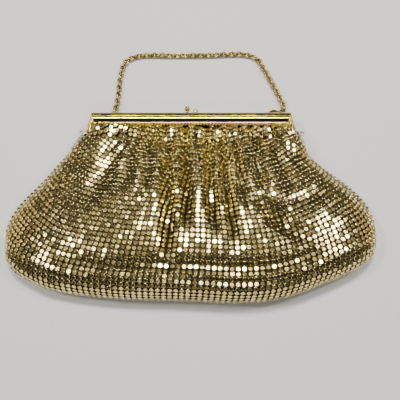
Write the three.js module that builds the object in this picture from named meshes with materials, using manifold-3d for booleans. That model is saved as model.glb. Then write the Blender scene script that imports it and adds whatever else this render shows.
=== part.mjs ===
// A metal mesh evening purse: a pouch of small metal plates gathered on a hinged frame that shuts
// with two balls, and a chain handle. It lies shut on its back, with the handle laid out behind it.
// Millimetres. +Z is up, X runs along the frame, +Y points from the bottom fold to the frame.
// The origin is on the floor, under the middle of the pouch's flat back.

import * as THREE from 'three';
import { mergeVertices } from 'three/addons/utils/BufferGeometryUtils.js';
import Module from 'manifold-3d';

const wasm = await Module();
wasm.setup();

// Clearances
const pieceGap = 0.3;
const weldGap = 0.002;

// Pouch
const pouchWidth = 232;
const pouchLength = 115.4;
const pouchThickness = 25;
const pouchWall = 1.8;
const cornerRise = 39.5;
const bottomY = -63;
const edgeHeight = 6;
const mouthHeight = 12.4;
const endBand = 1.6;
const fullerRight = 0.14;
const backFlat = 0.8;

// How the pouch's form changes from the mouth down, as shares of its length
const lipEnd = 0.15;
const neckEnd = 0.35;
const roundEnd = 0.3;
const rollStart = 0.87;
const backRollStart = 0.9;
const neckRound = 7;
const bodyRound = 2.5;
const cornerPull = 8;

// How far the inside stands from the outside, as shares of the wall, where the wall slopes
const sideSlope = 1.2;
const foldSlope = 1.5;
const frontSlope = 1.15;

// Frame
const frameWidth = 136;
const barDepth = 9.3;
const halfThickness = 6.5;
const legLength = 14.5;
const legWidth = 5.1;
const legSplay = 2.6;
const frameSheet = 1.2;
const frameRest = 0.15;

// Hanger coils
const coilRadius = 0.7;
const coilFromSeam = 4.3;

// Hinges
const hingeFromFoot = 3.2;
const hingeFromSeam = 1.65;
const rivetRadius = 0.6;
const rivetHeadRadius = 1.6;
const rivetHeadDepth = 0.9;
const tabRadius = 1.8;
const tabDepth = 1.1;

// Clasp
const ballRadius = 2.05;
const ballReach = 3.9;
const ballSpacing = 5.7;
const ballFromSeam = 2.1;
const ballLean = 6;
const stemRadius = 0.9;
const collarRadius = 1.5;
const collarDepth = 0.6;

// Chain and its ears
const earSpacing = 110;
const earRadius = 1.9;
const earWireRadius = 0.58;
const earRise = 1.2;
const earFromSeam = 3.2;
const linkPitch = 2.86;
const linkWidth = 4.1;
const linkWireRadius = 0.5;
const linkBite = 0.13;
const linkTurn = 16;
const linkSides = 5;
const linkSteps = 8;
const chainClear = 0.05;
const handleReach = 55.5;

// Places that follow from the sizes
const mouthY = bottomY + pouchLength;
const cornerY = bottomY + cornerRise;
const coilY = mouthY + pieceGap + coilRadius;
const lipY = coilY + coilRadius + pieceGap;
const frameTopY = lipY + barDepth;
const footY = frameTopY - legLength;
const seamZ = frameRest + halfThickness + pieceGap / 2;
const cornerX = frameWidth / 2;
const footX = cornerX + legSplay;
const legSlant = Math.atan2(legSplay, legLength);
const shoulderY = footY - legWidth * Math.sin(legSlant) - 2 * pieceGap;
const legInside = (y) => cornerX + (frameTopY - y) * Math.tan(legSlant) - legWidth / Math.cos(legSlant);
const earX = earSpacing / 2;
const earZ = seamZ - earFromSeam;

// The chain's route from one ear to the other, over the floor behind the frame: few chosen points.
// Across is a share of earX, behind a share of handleReach from the frame's top, and rise the height
// above the links that lie on the floor.
const chainRest = linkWidth / 2 + chainClear;
const chainRoute = [
  { across: -0.980, behind: 0.131, rise: 0.6 },
  { across: -0.958, behind: 0.316, rise: 0.0 },
  { across: -0.940, behind: 0.700, rise: 0.0 },
  { across: -0.884, behind: 0.888, rise: 0.0 },
  { across: -0.745, behind: 0.972, rise: 0.0 },
  { across: -0.200, behind: 0.984, rise: 0.0 },
  { across: 0.218, behind: 0.990, rise: 0.0 },
  { across: 0.718, behind: 1.000, rise: 0.0 },
  { across: 0.869, behind: 0.941, rise: 0.0 },
  { across: 0.967, behind: 0.759, rise: 0.0 },
  { across: 1.076, behind: 0.506, rise: 0.0 },
  { across: 1.185, behind: 0.229, rise: 0.0 },
  { across: 1.195, behind: 0.162, rise: 0.0 },
  { across: 1.165, behind: 0.105, rise: 0.1 },
  { across: 1.111, behind: 0.089, rise: 0.5 },
  { across: 1.053, behind: 0.103, rise: 1.0 },
  { across: 1.011, behind: 0.087, rise: 1.4 },
];

// Face of the frame's bar: down is a share of barDepth, out a share of halfThickness.
const barFace = [
  { down: 0.00, out: 0.00 },
  { down: 0.00, out: 0.62 },
  { down: 0.10, out: 0.84 },
  { down: 0.23, out: 0.90 },
  { down: 0.28, out: 0.85 },
  { down: 0.38, out: 0.96 },
  { down: 0.52, out: 1.00 },
  { down: 0.66, out: 0.94 },
  { down: 0.76, out: 0.82 },
  { down: 0.84, out: 0.78 },
  { down: 0.89, out: 0.85 },
  { down: 0.96, out: 0.86 },
  { down: 1.00, out: 0.79 },
];

// Sides of the pouch: down is a share of the way from the frame's feet to the bottom corners, left
// and right are reaches as shares of half the pouch's width.
const sideOutline = [
  { down: 0.00, left: 0.620, right: 0.628 },
  { down: 0.09, left: 0.667, right: 0.654 },
  { down: 0.20, left: 0.712, right: 0.675 },
  { down: 0.33, left: 0.768, right: 0.747 },
  { down: 0.49, left: 0.836, right: 0.858 },
  { down: 0.62, left: 0.901, right: 0.931 },
  { down: 0.73, left: 0.947, right: 0.973 },
  { down: 0.86, left: 0.981, right: 0.992 },
  { down: 1.00, left: 0.994, right: 0.992 },
];

// Bottom fold: across is a share of half the width, rise a share of cornerRise.
const bottomOutline = [
  { across: -1.00, rise: 1.00 },
  { across: -0.985, rise: 0.73 },
  { across: -0.96, rise: 0.58 },
  { across: -0.92, rise: 0.46 },
  { across: -0.84, rise: 0.33 },
  { across: -0.72, rise: 0.19 },
  { across: -0.55, rise: 0.11 },
  { across: -0.30, rise: 0.05 },
  { across: 0.00, rise: 0.03 },
  { across: 0.25, rise: 0.00 },
  { across: 0.38, rise: 0.02 },
  { across: 0.52, rise: 0.10 },
  { across: 0.66, rise: 0.24 },
  { across: 0.79, rise: 0.39 },
  { across: 0.90, rise: 0.54 },
  { across: 0.96, rise: 0.68 },
  { across: 0.99, rise: 0.82 },
  { across: 1.00, rise: 1.00 },
];

// Height of the front along the middle: down is a share of pouchLength, height of pouchThickness.
const frontHeight = [
  { down: 0.08, height: 0.53 },
  { down: 0.14, height: 0.64 },
  { down: 0.25, height: 0.78 },
  { down: 0.45, height: 0.91 },
  { down: 0.65, height: 0.97 },
  { down: 0.80, height: 0.98 },
  { down: 0.90, height: 1.00 },
  { down: 1.00, height: 1.00 },
];

// Gathers that run down the front. Across and width are shares of half the width, down is a share of
// the length, and depth of pouchThickness.
const gathers = [
  { across: -0.385, down: 0.00, endAcross: -0.530, endDown: 0.55, width: 0.045, depth: 0.14 },
  { across: -0.300, down: 0.00, endAcross: -0.360, endDown: 0.48, width: 0.034, depth: 0.09 },
  { across: -0.215, down: 0.00, endAcross: -0.250, endDown: 0.48, width: 0.028, depth: 0.11 },
  { across: -0.135, down: 0.00, endAcross: -0.107, endDown: 0.95, width: 0.026, depth: 0.25 },
  { across: -0.035, down: 0.00, endAcross: -0.015, endDown: 0.72, width: 0.022, depth: 0.24 },
  { across: 0.072, down: 0.00, endAcross: 0.138, endDown: 0.74, width: 0.024, depth: 0.25 },
  { across: 0.148, down: 0.00, endAcross: 0.240, endDown: 0.82, width: 0.024, depth: 0.22 },
  { across: 0.235, down: 0.00, endAcross: 0.300, endDown: 0.60, width: 0.024, depth: 0.16 },
  { across: 0.330, down: 0.00, endAcross: 0.410, endDown: 0.56, width: 0.032, depth: 0.13 },
  { across: 0.430, down: 0.02, endAcross: 0.550, endDown: 0.52, width: 0.036, depth: 0.11 },
  { across: 0.335, down: 0.42, endAcross: 0.600, endDown: 0.80, width: 0.045, depth: 0.19 },
];

// Creases that run across the front. Across runs from side to side as -1 to 1, and down and width are
// shares of pouchLength.
const creases = [
  { across: -0.78, down: 0.85, endAcross: 0.80, endDown: 0.84, width: 0.040, depth: 0.07 },
  { across: 0.40, down: 0.60, endAcross: 0.86, endDown: 0.50, width: 0.040, depth: 0.08 },
];

// Where the pouch is sampled, across and down.
const acrossBands = [
  { to: -0.90, steps: 2 },
  { to: -0.28, steps: 7 },
  { to: 0.48, steps: 22 },
  { to: 0.90, steps: 5 },
  { to: 1.00, steps: 2 },
];
const backSamples = [0.93, 0.8, 0.4, 0, -0.4, -0.8, -0.93];
const neckDown = (mouthY - shoulderY) / (mouthY - cornerY);
const flareDown = neckDown + 0.02;
const outerStations = [
  0, neckDown, flareDown, 0.15, 0.22, 0.30, 0.38, 0.46, 0.54, 0.62, 0.70, 0.77, 0.81, 0.845, 0.885,
  0.925, 0.96, 0.985, 1,
];
const innerStations = [0, neckDown, flareDown, 0.22, 0.38, 0.54, 0.70, 0.82, 0.90, 0.97];

const goldFrame = { color: 0xd2bd78, roughness: 0.22, metalness: 1 };
const goldMesh = { color: 0xc4ae6c, roughness: 0.38, metalness: 1 };
const goldChain = { color: 0xc7a95c, roughness: 0.3, metalness: 1 };

// Reading tables

function between(rows, key, column, at) {
  let low = rows[0];
  for (const high of rows) {
    if (at <= high[key]) {
      const span = high[key] - low[key];
      const share = span > 0 ? (at - low[key]) / span : 0;
      return low[column] + (high[column] - low[column]) * share;
    }
    low = high;
  }
  return low[column];
}

const clamp = THREE.MathUtils.clamp;
const smooth = (x, from, to) => THREE.MathUtils.smoothstep(x, from, to);
const lerp = THREE.MathUtils.lerp;
const bell = (distance, width) => Math.exp(-((distance / width) ** 2));

// Closed bodies

function signedVolume(geometry) {
  const at = geometry.attributes.position;
  const index = geometry.index.array;
  const [a, b, c] = [new THREE.Vector3(), new THREE.Vector3(), new THREE.Vector3()];
  let sum = 0;
  for (let i = 0; i < index.length; i += 3) {
    a.fromBufferAttribute(at, index[i]);
    b.fromBufferAttribute(at, index[i + 1]);
    c.fromBufferAttribute(at, index[i + 2]);
    sum += a.dot(b.cross(c));
  }
  return sum / 6;
}

// Keeps positions only, shares vertices that lie within weldGap, drops the faces that this closes up
// and turns every face outward.
function closed(geometry) {
  const bare = geometry.clone();
  bare.deleteAttribute('normal');
  bare.deleteAttribute('uv');
  const merged = mergeVertices(bare, weldGap);
  const corners = merged.index.array;
  const index = [];
  for (let i = 0; i < corners.length; i += 3) {
    const [a, b, c] = corners.slice(i, i + 3);
    if (a !== b && b !== c && c !== a) {
      index.push(a, b, c);
    }
  }
  merged.setIndex(index);
  if (signedVolume(merged) < 0) {
    merged.setIndex(index.reverse());
  }
  return merged;
}

function toSolid(geometry) {
  const shape = closed(geometry);
  return new wasm.Manifold(new wasm.Mesh({
    numProp: 3,
    vertProperties: new Float32Array(shape.attributes.position.array),
    triVerts: new Uint32Array(shape.index.array),
  }));
}

function fromSolid(solid) {
  const mesh = solid.getMesh();
  const geometry = new THREE.BufferGeometry();
  geometry.setAttribute('position', new THREE.BufferAttribute(mesh.vertProperties, 3));
  geometry.setIndex(new THREE.BufferAttribute(mesh.triVerts, 1));
  return geometry;
}

// Faces that fill a flat outline, their corners in the outline's own order.
function flatCap(outline) {
  const faces = THREE.ShapeUtils.triangulateShape(outline, []);
  return THREE.ShapeUtils.isClockWise(outline) ? faces.map((face) => face.reverse()) : faces;
}

// Faces of a narrow strip between the front and the back of a flattened ring.
function stripCap(frontSamples, backSamples) {
  const front = frontSamples.map((across, i) => ({ across, corner: i }));
  const back = backSamples.map((across, i) => ({ across, corner: front.length + i })).reverse();
  const lower = [front[0], ...back, front[front.length - 1]];
  const faces = [];
  let i = 0;
  let j = 0;
  while (i < front.length - 1 || j < lower.length - 1) {
    const takeFront = j === lower.length - 1
      || (i < front.length - 1 && front[i + 1].across <= lower[j + 1].across);
    if (takeFront) {
      faces.push([front[i].corner, front[i + 1].corner, lower[j].corner]);
      i += 1;
    } else {
      faces.push([lower[j + 1].corner, lower[j].corner, front[i].corner]);
      j += 1;
    }
  }
  return faces.filter(([a, b, c]) => a !== b && b !== c && c !== a);
}

// A body skinned over rings of points, closed at both ends by the faces of a cap.
function loft(rings, cap) {
  const count = rings[0].length;
  const last = (rings.length - 1) * count;
  const positions = rings.flat().flatMap((p) => [p.x, p.y, p.z]);
  const index = [];
  for (let ring = 0; ring < last; ring += count) {
    for (let i = 0; i < count; i += 1) {
      const a = ring + i;
      const b = ring + ((i + 1) % count);
      index.push(a, b, b + count, a, b + count, a + count);
    }
  }
  for (const [a, b, c] of cap) {
    index.push(c, b, a);
    index.push(a + last, b + last, c + last);
  }
  const geometry = new THREE.BufferGeometry();
  geometry.setAttribute('position', new THREE.Float32BufferAttribute(positions, 3));
  geometry.setIndex(index);
  return geometry;
}

// Corners of a regular polygon, the first on the X axis.
function polygon(radius, sides) {
  return Array.from({ length: sides }, (_, k) => {
    const angle = 2 * Math.PI * k / sides;
    return new THREE.Vector2(radius * Math.cos(angle), radius * Math.sin(angle));
  });
}

function piece(name, geometry, look) {
  const shape = closed(geometry);
  shape.computeVertexNormals();
  const mesh = new THREE.Mesh(shape, new THREE.MeshStandardMaterial(look));
  mesh.name = name;
  return mesh;
}

// Pouch

// How far out the pouch reaches between the frame's legs.
const neckReach = (y) => legInside(y) - 2 * coilRadius - 2 * pieceGap;

function sideReach(y, side) {
  if (y > shoulderY - 1e-6) {
    return neckReach(y);
  }
  const down = (shoulderY - y) / (shoulderY - cornerY);
  return between(sideOutline, 'down', side < 0 ? 'left' : 'right', down) * pouchWidth / 2;
}

function gatherDepth(across, down) {
  let depth = 0;
  for (const row of gathers) {
    const along = (down - row.down) / (row.endDown - row.down);
    if (along < 0 || along > 1) {
      continue;
    }
    const line = lerp(row.across, row.endAcross, along);
    const start = row.down > 0.1 ? smooth(along, 0, 0.3) : lerp(0.35, 1, smooth(down, 0, 0.16));
    const fade = 1 - smooth(along, 0.62, 1);
    depth += row.depth * start * fade * bell(across - line, row.width);
  }
  return depth;
}

function creaseDepth(across, down) {
  let depth = 0;
  for (const row of creases) {
    const along = (across - row.across) / (row.endAcross - row.across);
    if (along < 0 || along > 1) {
      continue;
    }
    const line = lerp(row.down, row.endDown, along);
    const fade = smooth(along, 0, 0.2) * (1 - smooth(along, 0.8, 1));
    depth += row.depth * fade * bell(down - line, row.width);
  }
  return depth;
}

// Height of the front along the middle, which starts at the mouth's height.
function middleHeight(down) {
  const first = frontHeight[0];
  if (down < first.down) {
    return lerp(mouthHeight, first.height * pouchThickness, down / first.down);
  }
  return between(frontHeight, 'down', 'height', down) * pouchThickness;
}

// One point of the pouch. Across runs from -1 to 1 and down from 0 at the mouth to 1 at the fold.
function pouchPoint(across, down, isFront, inset) {
  const far = Math.abs(across);
  const side = Math.sign(across);
  const foldY = bottomY + between(bottomOutline, 'across', 'rise', across) * cornerRise;
  const y = lerp(mouthY, foldY + foldSlope * inset, down);
  const reach = sideReach(lerp(mouthY, cornerY, down), side) - sideSlope * inset;
  const neck = neckReach(mouthY) - sideSlope * inset;
  const core = lerp(neck, reach, smooth(down, 0, neckEnd));
  const x = side * (core * far + (reach - core) * far ** cornerPull);

  const edge = lerp(seamZ, edgeHeight, smooth(down, 0, lipEnd));
  const round = lerp(neckRound, bodyRound, smooth(down, 0, roundEnd));
  const roll = clamp((down - rollStart) / (1 - rollStart), 0, 1);
  const band = far < 1 ? roll * endBand / 2 : 0;
  if (isFront) {
    const fall = (1 - far ** round) ** (1 / round) * Math.sqrt(1 - roll * roll);
    const swell = (middleHeight(down) - edge) * (1 + fullerRight * across * smooth(down, 0.1, 0.5));
    const gather = gatherDepth(2 * x / pouchWidth, down);
    const folds = (gather + creaseDepth(across, down)) * pouchThickness;
    return new THREE.Vector3(x, y, edge + (swell - frontSlope * inset - folds) * fall + band);
  }
  const sideLift = clamp((far - backFlat) / (1 - backFlat), 0, 1);
  const backRoll = clamp((down - backRollStart) / (1 - backRollStart), 0, 1);
  const flat = Math.sqrt(1 - sideLift * sideLift) * Math.sqrt(1 - backRoll * backRoll);
  return new THREE.Vector3(x, y, edge * (1 - flat) + inset * flat - band * (1 - flat));
}

function acrossSamples() {
  const samples = [-1];
  for (const band of acrossBands) {
    const from = samples[samples.length - 1];
    for (let step = 1; step <= band.steps; step += 1) {
      samples.push(lerp(from, band.to, step / band.steps));
    }
  }
  return samples;
}

function pouchRing(down, inset) {
  const front = acrossSamples().map((across) => pouchPoint(across, down, true, inset));
  const back = backSamples.map((across) => pouchPoint(across, down, false, inset));
  return [...front, ...back];
}

function meshBag() {
  const outer = outerStations.map((down) => pouchRing(down, 0));
  const inner = innerStations.map((down) => pouchRing(down, pouchWall));
  return loft([...outer.reverse(), ...inner], stripCap(acrossSamples(), backSamples));
}

// Frame

// A point of a frame half at one of the U's four stations, down from its outer edge and out of the seam.
function framePoint(station, down, out, half) {
  const side = station < 2 ? -1 : 1;
  const share = down / barDepth;
  const z = seamZ + half * (pieceGap / 2 + out);
  if (station === 0 || station === 3) {
    const inward = share * legWidth;
    return new THREE.Vector3(
      side * (footX - inward * Math.cos(legSlant)), footY - inward * Math.sin(legSlant), z);
  }
  const x = cornerX + down * Math.tan(legSlant) - share * legWidth / Math.cos(legSlant);
  return new THREE.Vector3(side * x, frameTopY - down, z);
}

function frameSection() {
  const outline = barFace.map((row) => new THREE.Vector2(row.down * barDepth, row.out * halfThickness));
  const faceInside = Math.min(...barFace.slice(2).map((row) => row.out)) * halfThickness - frameSheet;
  outline.push(new THREE.Vector2(barDepth, faceInside));
  outline.push(new THREE.Vector2(frameSheet, faceInside));
  outline.push(new THREE.Vector2(frameSheet, 0));
  return outline;
}

function frameBody(half) {
  const section = frameSection();
  const rings = [0, 1, 2, 3].map((station) => section.map((p) => framePoint(station, p.x, p.y, half)));
  return loft(rings, flatCap(section));
}

// A rod along X between two distances from the middle, on the hinge's axis.
function hingeRod(radius, from, to, side, sides) {
  const rod = new THREE.CylinderGeometry(radius, radius, to - from, sides);
  rod.rotateZ(Math.PI / 2);
  rod.translate(side * (from + to) / 2, footY + hingeFromFoot, seamZ - hingeFromSeam);
  return rod;
}

const legFaceX = footX - hingeFromFoot * Math.tan(legSlant);
const legWallInside = legFaceX - frameSheet / Math.cos(legSlant);

// The tab on the front half that reaches inside the back half's leg, with its rivet hole.
function hingeTab(side) {
  const outline = new THREE.Shape();
  const top = hingeFromSeam + pieceGap / 2 + 0.5 * halfThickness;
  outline.absarc(0, 0, tabRadius, Math.PI, 2 * Math.PI, false);
  outline.lineTo(tabRadius, top);
  outline.lineTo(-tabRadius, top);
  const plate = new THREE.ExtrudeGeometry(outline, {
    depth: tabDepth, bevelEnabled: false, curveSegments: 8,
  });
  const footHeight = 0.4 * halfThickness;
  const footDepth = tabDepth + pieceGap + frameSheet;
  const foot = new THREE.BoxGeometry(2 * tabRadius, footHeight, footDepth);
  foot.translate(0, top - footHeight / 2, footDepth / 2);
  for (const shape of [plate, foot]) {
    shape.applyMatrix4(new THREE.Matrix4().makeBasis(
      new THREE.Vector3(0, side, 0), new THREE.Vector3(0, 0, 1), new THREE.Vector3(side, 0, 0)));
    shape.rotateZ(side * legSlant);
    const innerX = legWallInside - pieceGap - tabDepth;
    shape.translate(side * innerX, footY + hingeFromFoot, seamZ - hingeFromSeam);
  }
  return toSolid(plate).add(toSolid(foot));
}

// A wire loop that stands on the back half's top wall and holds the chain's last link.
function ear(side) {
  const base = frameTopY - frameSheet / 2;
  const centre = frameTopY + earRise;
  const steps = 8;
  const points = [new THREE.Vector3(side * earX, base, earZ - earRadius)];
  for (let step = 0; step <= steps; step += 1) {
    const angle = Math.PI * step / steps;
    const y = centre + earRadius * Math.sin(angle);
    points.push(new THREE.Vector3(side * earX, y, earZ - earRadius * Math.cos(angle)));
  }
  points.push(new THREE.Vector3(side * earX, base, earZ + earRadius));
  const outline = polygon(earWireRadius, 6);
  const rings = points.map((point, i) => {
    const before = points[Math.max(i - 1, 0)];
    const after = points[Math.min(i + 1, points.length - 1)];
    const along = after.clone().sub(before).normalize();
    const out = new THREE.Vector3().crossVectors(along, new THREE.Vector3(1, 0, 0));
    return outline.map((p) => {
      const corner = point.clone().addScaledVector(out, p.x);
      corner.x += p.y;
      return corner;
    });
  });
  return toSolid(loft(rings, flatCap(outline)));
}

function frameFront() {
  let body = toSolid(frameBody(1));
  for (const side of [-1, 1]) {
    const hole = hingeRod(rivetRadius + pieceGap, legWallInside - 3 * tabDepth, footX, side, 12);
    body = body.add(hingeTab(side)).subtract(toSolid(hole));
  }
  return fromSolid(body);
}

function frameBack() {
  let body = toSolid(frameBody(-1));
  for (const side of [-1, 1]) {
    const hole = hingeRod(rivetRadius + pieceGap, legWallInside - 1, footX + 1, side, 12);
    body = body.add(ear(side)).subtract(toSolid(hole));
  }
  return fromSolid(body);
}

// A rivet through the back half's leg and the front half's tab, with a head outside and one inside.
function hingePin(side) {
  const headFrom = legFaceX + rivetHeadRadius * Math.tan(legSlant) + pieceGap;
  const tailTo = legWallInside - pieceGap - tabDepth - pieceGap - tabRadius * Math.tan(legSlant);
  const tailDepth = 0.7 * rivetHeadDepth;
  const shank = hingeRod(rivetRadius, tailTo - tailDepth / 2, headFrom + rivetHeadDepth / 2, side, 10);
  const head = hingeRod(rivetHeadRadius, headFrom, headFrom + rivetHeadDepth, side, 12);
  const tail = hingeRod(0.75 * rivetHeadRadius, tailTo - tailDepth, tailTo, side, 12);
  return fromSolid(toSolid(shank).add(toSolid(head)).add(toSolid(tail)));
}

// The rod that stands for the spiral wire, along the inside of one frame half.
function hangerCoil(half) {
  const away = pieceGap + coilRadius;
  const z = seamZ + half * (pieceGap / 2 + coilFromSeam);
  const inner = (y) => legInside(y) - away;
  const route = [
    [-inner(footY + away), footY + away],
    [-inner(lipY - away), lipY - away],
    [inner(lipY - away), lipY - away],
    [inner(footY + away), footY + away],
  ];
  const outline = polygon(coilRadius, 8);
  const rings = route.map(([x, y], station) => {
    const side = Math.sign(x);
    const isFoot = station === 0 || station === 3;
    const spread = isFoot ? new THREE.Vector2(-side, 0) : new THREE.Vector2(-side, -1);
    return outline.map((p) => new THREE.Vector3(x + spread.x * p.x, y + spread.y * p.x, z + p.y));
  });
  return loft(rings, flatCap(outline));
}

// Clasp

function claspKnob(half) {
  const profile = [
    new THREE.Vector2(0, 0),
    new THREE.Vector2(collarRadius, 0),
    new THREE.Vector2(collarRadius, collarDepth / 2),
    new THREE.Vector2(stemRadius, collarDepth),
  ];
  const neck = Math.asin(stemRadius / ballRadius);
  const steps = 6;
  for (let step = 0; step < steps; step += 1) {
    const angle = lerp(Math.PI - neck, 0, step / steps);
    const reach = ballReach + ballRadius * Math.cos(angle);
    profile.push(new THREE.Vector2(ballRadius * Math.sin(angle), reach));
  }
  profile.push(new THREE.Vector2(0, ballReach + ballRadius));
  const knob = new THREE.LatheGeometry(profile, 10);
  const lean = THREE.MathUtils.degToRad(ballLean);
  knob.rotateX(-half * lean);
  const clear = pieceGap + collarRadius * Math.sin(lean);
  const z = seamZ + half * (pieceGap / 2 + ballFromSeam);
  knob.translate(-half * ballSpacing / 2, frameTopY + clear, z);
  return knob;
}

// Chain

// One oval link round the origin, long along X and flat in the XY plane.
function link(halfLength) {
  const halfWidth = linkWidth / 2 - linkWireRadius;
  const longHalf = halfLength / Math.cos(Math.PI / linkSteps);
  const rings = [];
  for (let step = 0; step < linkSteps; step += 1) {
    const angle = 2 * Math.PI * (step + 0.5) / linkSteps;
    const centre = new THREE.Vector3(longHalf * Math.cos(angle), halfWidth * Math.sin(angle), 0);
    const normal = new THREE.Vector3(halfWidth * Math.cos(angle), longHalf * Math.sin(angle), 0);
    normal.normalize();
    rings.push(polygon(linkWireRadius, linkSides).map((p) => {
      const corner = centre.clone().addScaledVector(normal, -p.x);
      corner.z -= p.y;
      return corner;
    }));
  }
  const positions = rings.flat().flatMap((p) => [p.x, p.y, p.z]);
  const index = [];
  for (let step = 0; step < linkSteps; step += 1) {
    for (let k = 0; k < linkSides; k += 1) {
      const next = (k + 1) % linkSides;
      const a = step * linkSides;
      const b = ((step + 1) % linkSteps) * linkSides;
      index.push(a + k, a + next, b + next, a + k, b + next, b + k);
    }
  }
  const geometry = new THREE.BufferGeometry();
  geometry.setAttribute('position', new THREE.Float32BufferAttribute(positions, 3));
  geometry.setIndex(index);
  return geometry;
}

function chainJoints() {
  const earGap = earWireRadius + pieceGap;
  const hold = frameTopY + earRise + earRadius - earGap - linkBite / 2;
  const ends = [-1, 1].map((side) => new THREE.Vector3(side * earX, hold, earZ));
  const points = chainRoute.map((row) => new THREE.Vector3(
    row.across * earX, frameTopY + row.behind * handleReach, chainRest + row.rise));
  const route = new THREE.CatmullRomCurve3([ends[0], ...points, ends[1]], false, 'centripetal');
  route.arcLengthDivisions = 2000;
  const pairs = Math.round((route.getLength() / linkPitch - 1) / 2);
  return route.getSpacedPoints(2 * pairs + 1);
}

function chain() {
  const joints = chainJoints();
  const up = new THREE.Vector3(0, 0, 1);
  const links = [];
  for (let i = 0; i < joints.length - 1; i += 1) {
    const along = joints[i + 1].clone().sub(joints[i]);
    const halfLength = along.length() / 2 + linkWireRadius - linkBite / 2;
    along.normalize();
    const across = new THREE.Vector3().crossVectors(up, along).normalize();
    const normal = new THREE.Vector3().crossVectors(along, across);
    const body = link(halfLength);
    body.rotateX(THREE.MathUtils.degToRad(linkTurn + 90 * (i % 2)));
    body.applyMatrix4(new THREE.Matrix4().makeBasis(along, across, normal));
    const middle = joints[i].clone().add(joints[i + 1]).multiplyScalar(0.5);
    body.translate(middle.x, middle.y, middle.z);
    links.push(toSolid(body));
  }
  return fromSolid(links.reduce((whole, next) => whole.add(next)));
}

const purse = new THREE.Group();
purse.add(piece('mesh_bag', meshBag(), goldMesh));
purse.add(piece('frame_front', frameFront(), goldFrame));
purse.add(piece('frame_back', frameBack(), goldFrame));
purse.add(piece('hinge_pin_left', hingePin(-1), goldFrame));
purse.add(piece('hinge_pin_right', hingePin(1), goldFrame));
purse.add(piece('hanger_coil_front', hangerCoil(1), goldFrame));
purse.add(piece('hanger_coil_back', hangerCoil(-1), goldFrame));
purse.add(piece('clasp_knob_front', claspKnob(1), goldFrame));
purse.add(piece('clasp_knob_back', claspKnob(-1), goldFrame));
purse.add(piece('chain', chain(), goldChain));

export default purse;
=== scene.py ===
import math

import bmesh
import bpy
import numpy as np
from mathutils import Matrix, Vector


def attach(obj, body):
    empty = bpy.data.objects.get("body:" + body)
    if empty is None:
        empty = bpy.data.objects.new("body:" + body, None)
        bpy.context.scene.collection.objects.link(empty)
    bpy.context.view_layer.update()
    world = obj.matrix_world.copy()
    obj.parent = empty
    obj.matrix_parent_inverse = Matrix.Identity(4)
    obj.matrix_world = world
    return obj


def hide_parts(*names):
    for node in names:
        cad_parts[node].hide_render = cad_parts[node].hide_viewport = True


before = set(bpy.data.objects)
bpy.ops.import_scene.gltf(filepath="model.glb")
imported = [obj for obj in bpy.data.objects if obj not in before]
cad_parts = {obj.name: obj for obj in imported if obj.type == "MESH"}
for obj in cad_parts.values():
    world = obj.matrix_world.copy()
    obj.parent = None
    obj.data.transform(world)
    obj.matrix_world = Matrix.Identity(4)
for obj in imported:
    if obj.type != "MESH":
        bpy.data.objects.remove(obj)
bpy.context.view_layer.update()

# A metal mesh evening purse that lies shut on its back. Sizes are in millimetres and become metres
# where a mesh is made. +Z is up, X runs along the frame, and +Y points from the bottom fold to it.
MM = 0.001

# Pouch
POUCH_WIDTH = 232.0
POUCH_LENGTH = 115.4
POUCH_THICKNESS = 25.0
CORNER_RISE = 39.5
BOTTOM_Y = -63.0
EDGE_HEIGHT = 6.0
MOUTH_HEIGHT = 12.4
FULLER_RIGHT = 0.14
BACK_FLAT = 0.8

# Frame
FRAME_WIDTH = 136.0
BAR_DEPTH = 9.3
HALF_THICKNESS = 6.5
LEG_LENGTH = 14.5
LEG_WIDTH = 5.1
LEG_SPLAY = 2.6
FRAME_SHEET = 1.2
FRAME_REST = 0.15
MITRE_REACH = 0.22
MITRE_RISE = 0.05
PIECE_GAP = 0.3

# Spiral wires that hang the mesh in the frame
COIL_RADIUS = 0.7
COIL_WIRE = 0.34
COIL_PITCH = 2.06
COIL_FROM_SEAM = 4.3
LOOP_RADIUS = 1.2
LOOP_RISE = 1.1
LOOP_AWAY = 0.1

# Hinges
HINGE_FROM_FOOT = 3.2
HINGE_FROM_SEAM = 1.65
RIVET_HEAD_RADIUS = 1.6
RIVET_HEAD_DEPTH = 0.9
RIVET_RADIUS = 0.6
TAB_RADIUS = 1.8
TAB_DEPTH = 1.1

# Clasp
BALL_RADIUS = 2.05
BALL_REACH = 3.9
BALL_SPACING = 5.7
BALL_FROM_SEAM = 2.1
BALL_LEAN = 6.0
STEM_RADIUS = 0.9
COLLAR_RADIUS = 1.5
COLLAR_DEPTH = 0.6

# Chain and its ears
EAR_SPACING = 110.0
EAR_RADIUS = 1.9
EAR_WIRE = 0.58
EAR_RISE = 1.2
EAR_FROM_SEAM = 3.2
LINK_PITCH = 2.86
LINK_WIDTH = 4.1
LINK_WIRE = 0.66
LINK_BITE = 0.13
LINK_TURN = 16.0
CHAIN_CLEAR = 0.05
HANDLE_REACH = 55.5

# Mesh plates
PLATE_PITCH = 3.08
PLATE_RADIUS = 1.37
PLATE_RIM = 0.14
PLATE_CROWN = 0.10
PLATE_SIDES = 12
PLATE_FACE = 0.84
PLATE_COLUMNS = 77
PLATE_TILT = 0.085
BACK_TILT_SHARE = 0.1
NECK_TILT_SHARE = 0.4
LEAST_WIDTH = 0.5
FULLER_PLATES = 0.15
RING_RADIUS = 0.40
RING_WIRE = 0.10
RING_TILT = 0.3
RING_INSET = 0.75
# Insets of the near-black sheet of painted shade under the plates
OUTER_WALL_INSET = 0.7
INNER_WALL_INSET = 1.6

# Drape of the mesh: slack in the gathers, pleats under the frame, and the lap over it
GATHER_SLACK = 1.2
PLEATS = 17.5
PLEAT_DEPTH = 0.06
LAP_HEIGHT = 3.6
LAP_REACH = 5.0
LAP_OVER = 3.0
LAP_RIDE = 1.0
MOUTH_REACH = 1.6

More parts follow.
